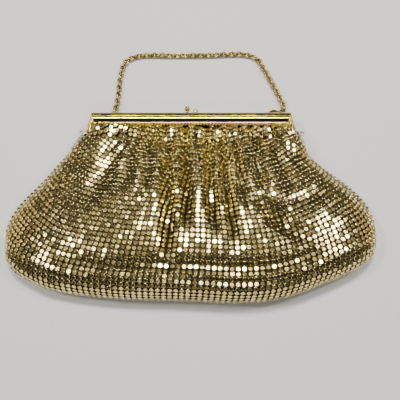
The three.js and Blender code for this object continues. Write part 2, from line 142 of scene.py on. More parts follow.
# Ranges in which the drape comes in across the front, or fades down it
PLEATS_LEFT = (-0.78, -0.62)
PLEATS_RIGHT = (0.80, 0.92)
PLEATS_FADE = (0.04, 0.36)
LAP_LEFT = (0.50, 0.70)
LAP_ENDS = (0.80, 0.92)
LAP_START = (0.0, 0.025)
LAP_FADE = (0.06, 0.26)
LAP_REACH_FADE = (0.03, 0.09)
LIP_LAP_LEFT = (0.50, 0.66)
LIP_LAP_FADE = (0.0, 0.09)
MOUTH_FADE = (0.0, 0.12)
TAUT_LEFT = (0.42, 0.62)
TAUT_FADE = (0.05, 0.60)
TAUT_CROWDING = 0.55

# Floor
FLOOR_SIZE = 2.4
FLOOR_Z = -0.2

# Camera, at the photograph's angle
CAMERA_ELEVATION = 70.0
CAMERA_DISTANCE = 270.0
CAMERA_FIELD = 50.0
CAMERA_TARGET = (6.0, 0.0, 12.0)

# Places that follow from the sizes
MOUTH_Y = BOTTOM_Y + POUCH_LENGTH
CORNER_Y = BOTTOM_Y + CORNER_RISE
COIL_Y = MOUTH_Y + PIECE_GAP + COIL_RADIUS
LIP_Y = COIL_Y + COIL_RADIUS + PIECE_GAP
FRAME_TOP_Y = LIP_Y + BAR_DEPTH
FOOT_Y = FRAME_TOP_Y - LEG_LENGTH
SEAM_Z = FRAME_REST + HALF_THICKNESS + PIECE_GAP / 2
CORNER_X = FRAME_WIDTH / 2
FOOT_X = CORNER_X + LEG_SPLAY
LEG_SLANT = math.atan2(LEG_SPLAY, LEG_LENGTH)
SHOULDER_Y = FOOT_Y - LEG_WIDTH * math.sin(LEG_SLANT) - 2 * PIECE_GAP
LEG_FACE_X = FOOT_X - HINGE_FROM_FOOT * math.tan(LEG_SLANT)
LEG_WALL_INSIDE = LEG_FACE_X - FRAME_SHEET / math.cos(LEG_SLANT)
EAR_X = EAR_SPACING / 2
EAR_Z = SEAM_Z - EAR_FROM_SEAM
CHAIN_REST = LINK_WIDTH / 2 + CHAIN_CLEAR

# Face of the frame's bar: down as a share of its depth, out as a share of half the frame's
# thickness
BAR_FACE = [
    (0.00, 0.00), (0.00, 0.62), (0.03, 0.76), (0.10, 0.85), (0.18, 0.895), (0.23, 0.90),
    (0.28, 0.85), (0.33, 0.91), (0.40, 0.965), (0.46, 0.99), (0.52, 1.00), (0.59, 0.985),
    (0.66, 0.94), (0.72, 0.88), (0.77, 0.81), (0.82, 0.775), (0.86, 0.80), (0.89, 0.85),
    (0.93, 0.875), (0.97, 0.855), (1.00, 0.79),
]

# Sides of the pouch: down from the frame's feet to the corners, reach left and right of half the
# width
SIDE_OUTLINE = [
    (0.00, 0.620, 0.628), (0.09, 0.667, 0.654), (0.20, 0.712, 0.675), (0.33, 0.768, 0.747),
    (0.49, 0.836, 0.858), (0.62, 0.901, 0.931), (0.73, 0.947, 0.973), (0.86, 0.981, 0.992),
    (1.00, 0.994, 0.992),
]

# Bottom fold: across as a share of half the width, rise as a share of the corners' rise
BOTTOM_OUTLINE = [
    (-1.00, 1.00), (-0.985, 0.73), (-0.96, 0.58), (-0.92, 0.46), (-0.84, 0.33), (-0.72, 0.19),
    (-0.55, 0.11), (-0.30, 0.05), (0.00, 0.03), (0.25, 0.00), (0.38, 0.02), (0.52, 0.10),
    (0.66, 0.24), (0.79, 0.39), (0.90, 0.54), (0.96, 0.68), (0.99, 0.82), (1.00, 1.00),
]

# Height of the front along the middle: down as a share of the length, height of the thickness
FRONT_HEIGHT = [
    (0.08, 0.53), (0.14, 0.64), (0.25, 0.78), (0.45, 0.91), (0.65, 0.97), (0.80, 0.98),
    (0.90, 1.00), (1.00, 1.00),
]

# Gathers down the front: across, down, end across, end down, width, depth. Across and width are
# shares of half the width, straight down the pouch.
GATHERS = [
    (-0.385, 0.00, -0.530, 0.55, 0.045, 0.14),
    (-0.300, 0.00, -0.360, 0.48, 0.034, 0.09),
    (-0.215, 0.00, -0.250, 0.48, 0.028, 0.11),
    (-0.135, 0.00, -0.107, 0.95, 0.026, 0.25),
    (-0.035, 0.00, -0.015, 0.72, 0.022, 0.24),
    (0.072, 0.00, 0.138, 0.74, 0.024, 0.25),
    (0.148, 0.00, 0.240, 0.82, 0.024, 0.22),
    (0.235, 0.00, 0.300, 0.60, 0.024, 0.16),
    (0.330, 0.00, 0.410, 0.56, 0.032, 0.13),
    (0.430, 0.02, 0.550, 0.52, 0.036, 0.11),
    (0.335, 0.42, 0.600, 0.80, 0.045, 0.19),
]

# Creases across the front: across, down, end across, end down, width, depth
CREASES = [
    (-0.78, 0.85, 0.80, 0.84, 0.040, 0.07),
    (0.40, 0.60, 0.86, 0.50, 0.040, 0.08),
]

# The chain's route between the ears: across as a share of the ears' place, behind as a share of the
# handle's reach, rise above the links that lie on the floor
CHAIN_ROUTE = [
    (-0.980, 0.131, 0.6), (-0.958, 0.316, 0.0), (-0.940, 0.700, 0.0), (-0.884, 0.888, 0.0),
    (-0.745, 0.972, 0.0), (-0.200, 0.984, 0.0), (0.218, 0.990, 0.0), (0.718, 1.000, 0.0),
    (0.869, 0.941, 0.0), (0.967, 0.759, 0.0), (1.076, 0.506, 0.0), (1.185, 0.229, 0.0),
    (1.195, 0.162, 0.0), (1.165, 0.105, 0.1), (1.111, 0.089, 0.5), (1.053, 0.103, 1.0),
    (1.011, 0.087, 1.4),
]


def clamp(value, low=0.0, high=1.0):
    return np.minimum(np.maximum(value, low), high)


def smooth(value, start, end):
    share = clamp((value - start) / (end - start))
    return share * share * (3 - 2 * share)


def mix(start, end, share):
    return start + (end - start) * share


def table_curve(rows, column):
    """A smooth curve through one column of a table, which never overshoots its rows."""
    at = np.array([row[0] for row in rows], float)
    value = np.array([row[column] for row in rows], float)
    step = np.diff(at)
    slope = np.diff(value) / step
    tangent = np.zeros(len(at))
    tangent[0], tangent[-1] = slope[0], slope[-1]
    for i in range(1, len(at) - 1):
        if slope[i - 1] * slope[i] > 0:
            weight = step[i] + 2 * step[i - 1], 2 * step[i] + step[i - 1]
            tangent[i] = sum(weight) / (weight[1] / slope[i - 1] + weight[0] / slope[i])

    def curve(x):
        x = clamp(np.asarray(x, float), at[0], at[-1])
        i = np.clip(np.searchsorted(at, x, side="right") - 1, 0, len(step) - 1)
        t = (x - at[i]) / step[i]
        return (
            value[i] * (1 + 2 * t) * (1 - t) ** 2 + value[i + 1] * t * t * (3 - 2 * t)
            + step[i] * (tangent[i] * t * (1 - t) ** 2 + tangent[i + 1] * t * t * (t - 1))
        )

    return curve


left_side = table_curve(SIDE_OUTLINE, 1)
right_side = table_curve(SIDE_OUTLINE, 2)
bottom_rise = table_curve(BOTTOM_OUTLINE, 1)
front_height = table_curve(FRONT_HEIGHT, 1)


# Surface of the pouch. Across runs from -1 to 1, and down from 0 at the mouth to 1 at the fold.

def leg_inside(y):
    return CORNER_X + (FRAME_TOP_Y - y) * math.tan(LEG_SLANT) - LEG_WIDTH / math.cos(LEG_SLANT)


def neck_reach(y):
    return leg_inside(y) - 2 * COIL_RADIUS - 2 * PIECE_GAP


def side_reach(y, side):
    down = (SHOULDER_Y - y) / (SHOULDER_Y - CORNER_Y)
    share = np.where(side < 0, left_side(down), right_side(down))
    return np.where(y > SHOULDER_Y, neck_reach(y), share * POUCH_WIDTH / 2)


def gather_depth(across, down):
    """Depth of the gathers as a share of the thickness, softer than the solid's by the slack."""
    depth = 0.0
    for start_across, start, end_across, end, width, deep in GATHERS:
        along = clamp((down - start) / (end - start))
        line = mix(start_across, end_across, along)
        grow = mix(0.35, 1.0, smooth(down, 0, 0.16)) if start < 0.1 else smooth(along, 0, 0.3)
        fade = 1 - smooth(along, 0.62, 1)
        slack = GATHER_SLACK * width
        depth = depth + deep / GATHER_SLACK * grow * fade * np.exp(-((across - line) / slack) ** 2)
    return depth


def pleat_share(across, down):
    """Share of the pleats' depth: fine pleats under the frame, which end where the gathers take
    them up."""
    wave = np.cos(math.pi * PLEATS * across)
    reach = smooth(across, *PLEATS_LEFT) * (1 - smooth(across, *PLEATS_RIGHT))
    return (1 - wave) / 2 * reach * (1 - smooth(down, *PLEATS_FADE))


def lap_share(across, down):
    """How far the mesh laps over the frame's legs, and on the left over the bar's lip too."""
    left = smooth(-across, *LAP_LEFT)
    ends = smooth(np.abs(across), *LAP_ENDS)
    return np.maximum(left, ends) * smooth(down, *LAP_START) * (1 - smooth(down, *LAP_FADE))


def crease_depth(across, down):
    """Depth of the creases that run across the front, as a share of the thickness."""
    depth = 0.0
    for start, start_down, end, end_down, width, deep in CREASES:
        along = clamp((across - start) / (end - start))
        line = mix(start_down, end_down, along)
        fade = smooth(along, 0, 0.2) * (1 - smooth(along, 0.8, 1))
        depth = depth + deep * fade * np.exp(-((down - line) / width) ** 2)
    return depth


def middle_height(down):
    """Height of the front along its middle, straight from the mouth to the table's first row."""
    first_down, first = FRONT_HEIGHT[0]
    start = mix(MOUTH_HEIGHT, first * POUCH_THICKNESS, down / first_down)
    return np.where(down < first_down, start, front_height(down) * POUCH_THICKNESS)


def pouch_point(across, down, is_front, inset=0.0, folded=1.0, lapped=1.0):
    """Points of the pouch in millimetres, inset from its outside, with its folds and its lap over
    the frame or without."""
    across, down = np.broadcast_arrays(np.asarray(across, float), np.asarray(down, float))
    far = np.abs(across)
    side = np.sign(across)
    fold_y = BOTTOM_Y + bottom_rise(across) * CORNER_RISE
    y = mix(MOUTH_Y, fold_y + 1.5 * inset, down)
    reach = side_reach(mix(MOUTH_Y, CORNER_Y, down), side) - 1.2 * inset
    neck = neck_reach(MOUTH_Y) - 1.2 * inset
    core = mix(neck, reach, smooth(down, 0, 0.35))
    x = side * (core * far + (reach - core) * far ** 8)
    edge = mix(SEAM_Z, EDGE_HEIGHT, smooth(down, 0, 0.15))
    if is_front:
        rounding = mix(7.0, 2.5, smooth(down, 0, 0.3))
        roll = clamp((down - 0.87) / 0.13)
        fall = (1 - far ** rounding) ** (1 / rounding) * np.sqrt(1 - roll * roll)
        swell = (middle_height(down) - edge) * (1 + FULLER_RIGHT * across * smooth(down, 0.1, 0.5))
        lap = lapped * lap_share(across, down)
        swell = swell + LAP_HEIGHT * lap
        x = x + side * LAP_REACH * lap * (1 - smooth(down, *LAP_REACH_FADE)) * far ** 6
        over = lapped * smooth(-across, *LIP_LAP_LEFT) * (1 - smooth(down, *LIP_LAP_FADE))
        y = y + LAP_OVER * over
        y = y + MOUTH_REACH * lapped * (1 - over) * (1 - smooth(down, *MOUTH_FADE))
        swell = swell + LAP_RIDE * over
        gathers = gather_depth(2 * x / POUCH_WIDTH, down) + PLEAT_DEPTH * pleat_share(across, down)
        folds = (gathers + crease_depth(across, down)) * POUCH_THICKNESS
        z = edge + (swell - 1.15 * inset - folded * folds) * fall
    else:
        side_lift = clamp((far - BACK_FLAT) / (1 - BACK_FLAT))
        roll = clamp((down - 0.9) / 0.1)
        flat = np.sqrt(1 - side_lift ** 2) * np.sqrt(1 - roll ** 2)
        z = edge * (1 - flat) + inset * flat
    return np.stack([x, y, z], axis=-1)


def arc_lengths(points, axis):
    """Length along a grid of points, from 0 at its first point."""
    steps = np.linalg.norm(np.diff(points, axis=axis), axis=-1)
    total = np.cumsum(steps, axis=axis)
    start = np.zeros_like(np.take(total, [0], axis=axis))
    return np.concatenate([start, total], axis=axis)


# Where the mesh plates lie: rows run level with the bottom fold, and columns fan out to the sides

def plate_lattice(is_front, half_step=0.0):
    """Across, down and room of each place in the mesh, a row at a time up from the bottom fold.
    Room is the space between two columns as a share of the pitch."""
    across = np.linspace(-1, 1, 601)
    down = np.sin(np.linspace(0, 1, 401) * math.pi / 2)
    grid_across, grid_down = np.meshgrid(across, down, indexing="ij")
    plain = pouch_point(grid_across, grid_down, is_front, folded=0.0)
    crowding = np.ones_like(grid_down)
    if is_front:
        taut = smooth(-grid_across, *TAUT_LEFT) * (1 - smooth(grid_down, *TAUT_FADE))
        crowding = mix(1.0, TAUT_CROWDING, taut)
    steps = np.diff(arc_lengths(plain, 0), axis=0) * (crowding[1:] + crowding[:-1]) / 2
    count = np.concatenate([np.zeros((1, len(down))), np.cumsum(steps, axis=0)])
    count = (count / count[-1] - 0.5) * (PLATE_COLUMNS - 1)
    along_row = arc_lengths(pouch_point(grid_across, grid_down, is_front), 0)
    room = np.gradient(along_row, axis=0) / np.gradient(count, axis=0) / PLATE_PITCH
    up_column = arc_lengths(plain[:, ::-1], 1)[:, ::-1]
    cut = CORNER_RISE * clamp(bottom_rise(across) - 0.5, 0, 0.5) * 0.6
    up_column = up_column + cut[:, None]
    places = []
    half = (PLATE_COLUMNS - 1) / 2
    columns = np.arange(-half, half + 0.5) + half_step
    for column in columns[np.abs(columns) <= half]:
        across_at = np.array([np.interp(column, count[:, j], across) for j in range(len(down))])
        up_at = np.array([np.interp(a, across, up_column[:, j]) for j, a in enumerate(across_at)])
        last = int(up_at[0] / PLATE_PITCH - half_step)
        rows = np.arange(0, last + 1) + 0.5 + half_step
        levels = rows * PLATE_PITCH
        inside = (levels > up_at[-1]) & (levels < up_at[0])
        room_at = [np.interp(a, across, room[:, j]) for j, a in enumerate(across_at)]
        for down_here in np.interp(levels[inside], up_at[::-1], down[::-1]):
            across_here = np.interp(down_here, down, across_at)
            places.append((across_here, down_here, np.interp(down_here, down, room_at)))
    return np.array(places)


def surface_frame(across, down, is_front, step=0.0035):
    """Points on the pouch with the directions along the rows and outward."""
    low_across, high_across = clamp(across - 3 * step, -1, 1), clamp(across + 3 * step, -1, 1)
    low_down, high_down = clamp(down - step), clamp(down + step)
    along = pouch_point(high_across, down, is_front) - pouch_point(low_across, down, is_front)
    below = pouch_point(across, high_down, is_front) - pouch_point(across, low_down, is_front)
    out = np.cross(below, along)
    out /= np.linalg.norm(out, axis=-1, keepdims=True)
    if not is_front:
        out = -out
    along /= np.linalg.norm(along, axis=-1, keepdims=True)
    return pouch_point(across, down, is_front), along, out


# Making meshes

def mesh_object(name, points_mm, faces):
    mesh = bpy.data.meshes.new(name)
    mesh.from_pydata((np.asarray(points_mm, float) * MM).tolist(), [], faces)
    mesh.validate()
    mesh.update()
    piece = bpy.data.objects.new(name, mesh)
    bpy.context.scene.collection.objects.link(piece)
    return piece


def finish_piece(piece, slot, material, *nodes):
    piece.data.materials.clear()
    piece.data.materials.append(material)
    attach(piece, "root")
    if nodes:
        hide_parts(*nodes)
    return piece


def joined(name, parts):
    """One object made of several lists of points and faces."""
    points, faces = [], []
    for part_points, part_faces in parts:
        start = len(points)
        points += [tuple(p) for p in part_points]
        faces += [tuple(start + corner for corner in face) for face in part_faces]
    return mesh_object(name, points, faces)


def loft_part(rings, is_closed=False, has_caps=True):
    """Points and faces skinned over rings, which all turn the same way round."""
    count = len(rings[0])
    points = [point for ring in rings for point in ring]
    faces = []
    last = len(rings) if is_closed else len(rings) - 1
    for r in range(last):
        here, there = r * count, ((r + 1) % len(rings)) * count
        for i in range(count):
            j = (i + 1) % count
            faces.append((here + i, here + j, there + j, there + i))
    if has_caps and not is_closed:
        faces.append(tuple(range(count))[::-1])
        faces.append(tuple(range(last * count, (last + 1) * count)))
    return points, faces


def outward(piece):
    """Turns every face of a closed piece outward."""
    work = bmesh.new()
    work.from_mesh(piece.data)
    bmesh.ops.remove_doubles(work, verts=work.verts, dist=1e-7)
    bmesh.ops.recalc_face_normals(work, faces=work.faces)
    work.to_mesh(piece.data)
    work.free()
    return piece


def soften(piece, angle):
    piece.data.shade_smooth()
    piece.data.set_sharp_from_angle(angle=math.radians(angle))
    return piece


# Geometry Nodes

def new_tree(name, inputs):
    """An empty geometry tree with named inputs, given as (name, socket, default)."""
    tree = bpy.data.node_groups.new(name, "GeometryNodeTree")
    tree.interface.new_socket(name="Places", in_out="INPUT", socket_type="NodeSocketGeometry")
    for label, kind, default in inputs:
        socket = tree.interface.new_socket(name=label, in_out="INPUT", socket_type=kind)
        if default is not None:
            socket.default_value = default
    tree.interface.new_socket(name="Geometry", in_out="OUTPUT", socket_type="NodeSocketGeometry")
    return tree, tree.nodes.new("NodeGroupInput"), tree.nodes.new("NodeGroupOutput")


def add_node(tree, kind, values=None, links=None, **settings):
    """Adds a node, sets its settings and sockets, and links its inputs from other sockets."""
    node = tree.nodes.new(kind)
    for key, value in settings.items():
        setattr(node, key, value)
    for key, value in (values or {}).items():
        node.inputs[key].default_value = value
    for key, socket in (links or {}).items():
        tree.links.new(socket, node.inputs[key])
    return node


def painted_result(tree, given, made, copies):
    """Makes the copies real, paints them and hands them out."""
    real = add_node(tree, "GeometryNodeRealizeInstances", links={0: copies.outputs[0]})
    painted = add_node(tree, "GeometryNodeSetMaterial",
                       links={0: real.outputs[0], "Material": given.outputs["Material"]})
    tree.links.new(painted.outputs[0], made.inputs["Geometry"])
    return tree


def copies_tree():
    """Copies of one small piece on points that hold its turn and stretch, each tilted a little by
    chance and given a shade of its own."""
    tree, given, made = new_tree("copies_on_places", [
        ("Copy", "NodeSocketObject", None),
        ("Tilt", "NodeSocketFloat", 0.0),
        ("Seed", "NodeSocketInt", 1),
        ("Material", "NodeSocketMaterial", None),
    ])
    turn, stretch, loose = (
        add_node(tree, "GeometryNodeInputNamedAttribute", {"Name": name}, data_type=kind)
        for name, kind in [("turn", "QUATERNION"), ("stretch", "FLOAT_VECTOR"),
                           ("looseness", "FLOAT")])
    chance = add_node(tree, "FunctionNodeRandomValue", {0: (-1, -1, 0), 1: (1, 1, 0)},
                      {"Seed": given.outputs["Seed"]}, data_type="FLOAT_VECTOR")
    amount = add_node(tree, "ShaderNodeMath", links={0: given.outputs["Tilt"], 1: loose.outputs[0]},
                      operation="MULTIPLY")
    tilt = add_node(tree, "ShaderNodeVectorMath",
                    links={0: chance.outputs[0], "Scale": amount.outputs[0]}, operation="SCALE")
    tilt_turn = add_node(tree, "FunctionNodeEulerToRotation", links={0: tilt.outputs[0]})
    whole_turn = add_node(tree, "FunctionNodeRotateRotation",
                          links={0: turn.outputs[0], 1: tilt_turn.outputs[0]},
                          rotation_space="LOCAL")
    copy = add_node(tree, "GeometryNodeObjectInfo", links={"Object": given.outputs["Copy"]})
    spread = add_node(tree, "GeometryNodeInstanceOnPoints", links={
        "Points": given.outputs["Places"], "Instance": copy.outputs["Geometry"],
        "Rotation": whole_turn.outputs[0], "Scale": stretch.outputs[0],
    })
    shade = add_node(tree, "FunctionNodeRandomValue", links={"Seed": given.outputs["Seed"]},
                     data_type="FLOAT")
    kept = add_node(tree, "GeometryNodeStoreNamedAttribute", {"Name": "shade"},
                    {"Geometry": spread.outputs[0], "Value": shade.outputs[1]},
                    data_type="FLOAT", domain="INSTANCE")
    return painted_result(tree, given, made, kept)


def coil_tree():
    """A spiral wire wound round a path."""
    tree, given, made = new_tree("spiral_wire", [
        ("Coil radius", "NodeSocketFloat", COIL_RADIUS * MM),
        ("Wire radius", "NodeSocketFloat", COIL_WIRE * MM),
        ("Turn pitch", "NodeSocketFloat", COIL_PITCH * MM),
        ("Material", "NodeSocketMaterial", None),
    ])
    step = add_node(tree, "ShaderNodeMath", {1: 12.0}, {0: given.outputs["Turn pitch"]},
                    operation="DIVIDE")
    path = add_node(tree, "GeometryNodeResampleCurve",
                    links={"Curve": given.outputs["Places"], "Length": step.outputs[0]},
                    mode="LENGTH")
    place = add_node(tree, "GeometryNodeSplineParameter")
    turns = add_node(tree, "ShaderNodeMath",
                     links={0: place.outputs["Length"], 1: given.outputs["Turn pitch"]},
                     operation="DIVIDE")
    angle = add_node(tree, "ShaderNodeMath", {1: 2 * math.pi}, {0: turns.outputs[0]},
                     operation="MULTIPLY")
    sine = add_node(tree, "ShaderNodeMath", links={0: angle.outputs[0]}, operation="SINE")
    cosine = add_node(tree, "ShaderNodeMath", links={0: angle.outputs[0]}, operation="COSINE")
    tangent = add_node(tree, "GeometryNodeInputTangent")
    across = add_node(tree, "ShaderNodeVectorMath", {1: (0, 0, 1)}, {0: tangent.outputs[0]},
                      operation="CROSS_PRODUCT")
    sideways = add_node(tree, "ShaderNodeVectorMath",
                        links={0: across.outputs[0], "Scale": cosine.outputs[0]}, operation="SCALE")
    upward = add_node(tree, "ShaderNodeCombineXYZ", links={"Z": sine.outputs[0]})
    around = add_node(tree, "ShaderNodeVectorMath",
                      links={0: sideways.outputs[0], 1: upward.outputs[0]}, operation="ADD")
    middle = add_node(tree, "ShaderNodeMath",
                      links={0: given.outputs["Coil radius"], 1: given.outputs["Wire radius"]},
                      operation="SUBTRACT")
    offset = add_node(tree, "ShaderNodeVectorMath",
                      links={0: around.outputs[0], "Scale": middle.outputs[0]}, operation="SCALE")
    wound = add_node(tree, "GeometryNodeSetPosition",
                     links={0: path.outputs[0], "Offset": offset.outputs[0]})
    section = add_node(tree, "GeometryNodeCurvePrimitiveCircle", {"Resolution": 6},
                       {"Radius": given.outputs["Wire radius"]})
    wire = add_node(tree, "GeometryNodeCurveToMesh", {"Fill Caps": True},
                    {"Curve": wound.outputs[0], "Profile Curve": section.outputs[0]})
    smoothed = add_node(tree, "GeometryNodeSetShadeSmooth", links={0: wire.outputs[0]})
    return painted_result(tree, given, made, smoothed)


def run_tree(piece, tree, **inputs):
    """Runs a tree on a piece with these inputs and keeps the result as a plain mesh of the same
    name."""
    modifier = piece.modifiers.new("nodes", "NODES")
    modifier.node_group = tree
    sockets = {item.name: item.identifier
               for item in tree.interface.items_tree if item.in_out == "INPUT"}
    for label, value in inputs.items():
        modifier[sockets[label.replace("_", " ")]] = value
    depsgraph = bpy.context.evaluated_depsgraph_get()
    mesh = bpy.data.meshes.new_from_object(piece.evaluated_get(depsgraph), depsgraph=depsgraph)
    name = piece.name
    bpy.data.objects.remove(piece)
    mesh.name = name
    result = bpy.data.objects.new(name, mesh)
    bpy.context.scene.collection.objects.link(result)
    return result


def places_object(name, points_mm, turns, stretches=None, looseness=None, painted_flank_reflection=None):
    """A mesh of bare points that carries each copy's turn, stretch, looseness and slope, the share
    of painted reflection that the sides of folds get.
    """
    piece = mesh_object(name, points_mm, [])
    count = len(points_mm)
    stretches = np.ones((count, 3)) if stretches is None else stretches
    looseness = np.ones(count) if looseness is None else looseness
    attributes = piece.data.attributes
    turn = attributes.new("turn", "QUATERNION", "POINT")
    turn.data.foreach_set("value", np.asarray(turns, np.float32).ravel())
    stretch = attributes.new("stretch", "FLOAT_VECTOR", "POINT")
    stretch.data.foreach_set("vector", np.asarray(stretches, np.float32).ravel())
    loose = attributes.new("looseness", "FLOAT", "POINT")
    loose.data.foreach_set("value", np.asarray(looseness, np.float32).ravel())
    if painted_flank_reflection is not None:
        slope = attributes.new("slope", "FLOAT", "POINT")
        slope.data.foreach_set("value", np.asarray(painted_flank_reflection, np.float32).ravel())
    return piece


def turn_of(x_axis, z_axis):
    """The turn that takes X to x_axis and Z to z_axis, as w, x, y, z."""
    y_axis = np.cross(z_axis, x_axis)
    matrix = Matrix([[x_axis[i], y_axis[i], z_axis[i]] for i in range(3)])
    return tuple(matrix.to_quaternion())


# Materials

def new_material(name):
    material = bpy.data.materials.new(name)
    material.use_nodes = True
    material.node_tree.nodes.clear()
    return material, material.node_tree


def wear_group():
    """Plated metal that is handled: its color drifts, and the plating dulls in clouds and has fine
    scratches."""
    tree = bpy.data.node_groups.new("handled_plating", "ShaderNodeTree")
    for label, kind, default in [
        ("Base Color", "NodeSocketColor", (0.8, 0.7, 0.45, 1)),
        ("Deep Color", "NodeSocketColor", (0.5, 0.4, 0.2, 1)),
        ("Roughness", "NodeSocketFloat", 0.25),
        ("Dulling", "NodeSocketFloat", 0.15),
        ("Cloud Scale", "NodeSocketFloat", 60.0),
        ("Scratch Scale", "NodeSocketFloat", 900.0),
        ("Shade", "NodeSocketFloat", 0.5),
    ]:
        socket = tree.interface.new_socket(name=label, in_out="INPUT", socket_type=kind)
        socket.default_value = default
    for label, kind in [("Color", "NodeSocketColor"), ("Roughness", "NodeSocketFloat"),
                        ("Height", "NodeSocketFloat")]:
        tree.interface.new_socket(name=label, in_out="OUTPUT", socket_type=kind)
    given, made = tree.nodes.new("NodeGroupInput"), tree.nodes.new("NodeGroupOutput")
    place = add_node(tree, "ShaderNodeTexCoord")
    clouds = add_node(tree, "ShaderNodeTexNoise", {"Detail": 4.0, "Roughness": 0.6},
                      {"Vector": place.outputs["Object"], "Scale": given.outputs["Cloud Scale"]})
    drawn = add_node(tree, "ShaderNodeMapping", {"Scale": (0.06, 1.0, 1.0)},
                     {"Vector": place.outputs["Object"]})
    scratches = add_node(tree, "ShaderNodeTexNoise", {"Detail": 3.0, "Roughness": 0.7},
                         {"Vector": drawn.outputs[0], "Scale": given.outputs["Scratch Scale"]})
    mixed = add_node(tree, "ShaderNodeMath", {1: 0.55}, {0: clouds.outputs["Fac"]},
                     operation="MULTIPLY")
    share = add_node(tree, "ShaderNodeMath", {1: 0.45},
                     {0: given.outputs["Shade"], 2: mixed.outputs[0]}, operation="MULTIPLY_ADD")
    spread = add_node(tree, "ShaderNodeMapRange", {"From Min": 0.22, "From Max": 0.78},
                      {"Value": share.outputs[0]})
    color = add_node(tree, "ShaderNodeMix", links={"Factor": spread.outputs[0]}, data_type="RGBA")
    tree.links.new(given.outputs["Base Color"], color.inputs[6])
    tree.links.new(given.outputs["Deep Color"], color.inputs[7])
    dull = add_node(tree, "ShaderNodeMath", links={
        0: spread.outputs[0], 1: given.outputs["Dulling"], 2: given.outputs["Roughness"],
    }, operation="MULTIPLY_ADD")
    tree.links.new(color.outputs[2], made.inputs["Color"])
    tree.links.new(dull.outputs[0], made.inputs["Roughness"])
    tree.links.new(scratches.outputs["Fac"], made.inputs["Height"])
    return tree


def plated(name, group, base, deep, roughness, dulling, clouds=60.0, scratches=900.0, bump=0.15,
           has_shade=False, painted_reflection_color=None):
    """A plated metal: its two golds, how rough and how dulled it is, and its scratches. The sides
    of folds get a painted reflection: their color turns toward the yellow of the facing gold."""
    material, tree = new_material(name)
    wear = add_node(tree, "ShaderNodeGroup", node_tree=group)
    wear.inputs["Base Color"].default_value = (*base, 1)
    wear.inputs["Deep Color"].default_value = (*deep, 1)
    wear.inputs["Roughness"].default_value = roughness
    wear.inputs["Dulling"].default_value = dulling
    wear.inputs["Cloud Scale"].default_value = clouds
    wear.inputs["Scratch Scale"].default_value = scratches
    if has_shade:
        shade = add_node(tree, "ShaderNodeAttribute", attribute_name="shade")
        tree.links.new(shade.outputs["Fac"], wear.inputs["Shade"])
    relief = add_node(tree, "ShaderNodeBump", {"Strength": bump, "Distance": 0.0002},
                      {"Height": wear.outputs["Height"]})
    color = wear.outputs["Color"]
    # Painted reflection: where the slope attribute marks the side of a fold, the color turns toward
    # the yellow that facing gold would reflect.
    if painted_reflection_color:
        slope = add_node(tree, "ShaderNodeAttribute", attribute_name="slope")
        with_painted_reflection = add_node(tree, "ShaderNodeMix", links={"Factor": slope.outputs["Fac"]},
                          data_type="RGBA")
        tree.links.new(color, with_painted_reflection.inputs[6])
        with_painted_reflection.inputs[7].default_value = (*painted_reflection_color, 1)
        color = with_painted_reflection.outputs[2]
    shader = add_node(tree, "ShaderNodeBsdfPrincipled", {"Metallic": 1.0}, {
        "Base Color": color, "Roughness": wear.outputs["Roughness"], "Normal": relief.outputs[0]})
    output = tree.nodes.new("ShaderNodeOutputMaterial")
    tree.links.new(shader.outputs[0], output.inputs[0])
    return material


def floor_material():
    material, tree = new_material("pale_floor")
    place = add_node(tree, "ShaderNodeTexCoord")
    grain = add_node(tree, "ShaderNodeTexNoise", {"Scale": 300.0, "Detail": 3.0},
                     {"Vector": place.outputs["Object"]})
    color = add_node(tree, "ShaderNodeMix", links={"Factor": grain.outputs["Fac"]},
                     data_type="RGBA")
    color.inputs[6].default_value = (0.78, 0.77, 0.75, 1)
    color.inputs[7].default_value = (0.82, 0.81, 0.79, 1)
    shader = add_node(tree, "ShaderNodeBsdfPrincipled", {"Roughness": 0.8},
                      {"Base Color": color.outputs[2]})
    output = tree.nodes.new("ShaderNodeOutputMaterial")
    tree.links.new(shader.outputs[0], output.inputs[0])
    return material


# Pieces

def plate_shape():
    """One plate: a round disc with a crown, its back flat."""
    sides = PLATE_SIDES
    angles = [2 * math.pi * (k + 0.5) / sides for k in range(sides)]
    rim = [(PLATE_RADIUS * math.cos(a), PLATE_RADIUS * math.sin(a), 0) for a in angles]
    upper = [(x, y, PLATE_RIM) for x, y, _ in rim]
    face = [(PLATE_FACE * x, PLATE_FACE * y, PLATE_RIM + PLATE_CROWN) for x, y, _ in rim]
    points = rim + upper + face
    faces = [tuple(range(sides))[::-1], tuple(range(2 * sides, 3 * sides))]
    for k in range(sides):
        after = (k + 1) % sides
        faces.append((k, after, sides + after, sides + k))
        faces.append((sides + k, sides + after, 2 * sides + after, 2 * sides + k))
    plate = mesh_object("plate_shape", points, faces)
    for polygon in plate.data.polygons:
        polygon.use_smooth = len(polygon.vertices) == 4
    return plate


def ring_shape(radius, wire, steps, sides, length=None):
    """Points and faces of one closed ring or oval link round the origin, flat in the XY plane."""
    half_length = radius if length is None else length
    rings = []
    for step in range(steps):
        angle = 2 * math.pi * step / steps
        centre = np.array([half_length * math.cos(angle), radius * math.sin(angle), 0])
        normal = np.array([radius * math.cos(angle), half_length * math.sin(angle), 0])
        normal /= np.linalg.norm(normal)
        rings.append([
            centre + wire * (math.cos(turn) * normal + math.sin(turn) * np.array([0, 0, 1]))
            for turn in (2 * math.pi * k / sides for k in range(sides))
        ])
    return loft_part(rings, is_closed=True)


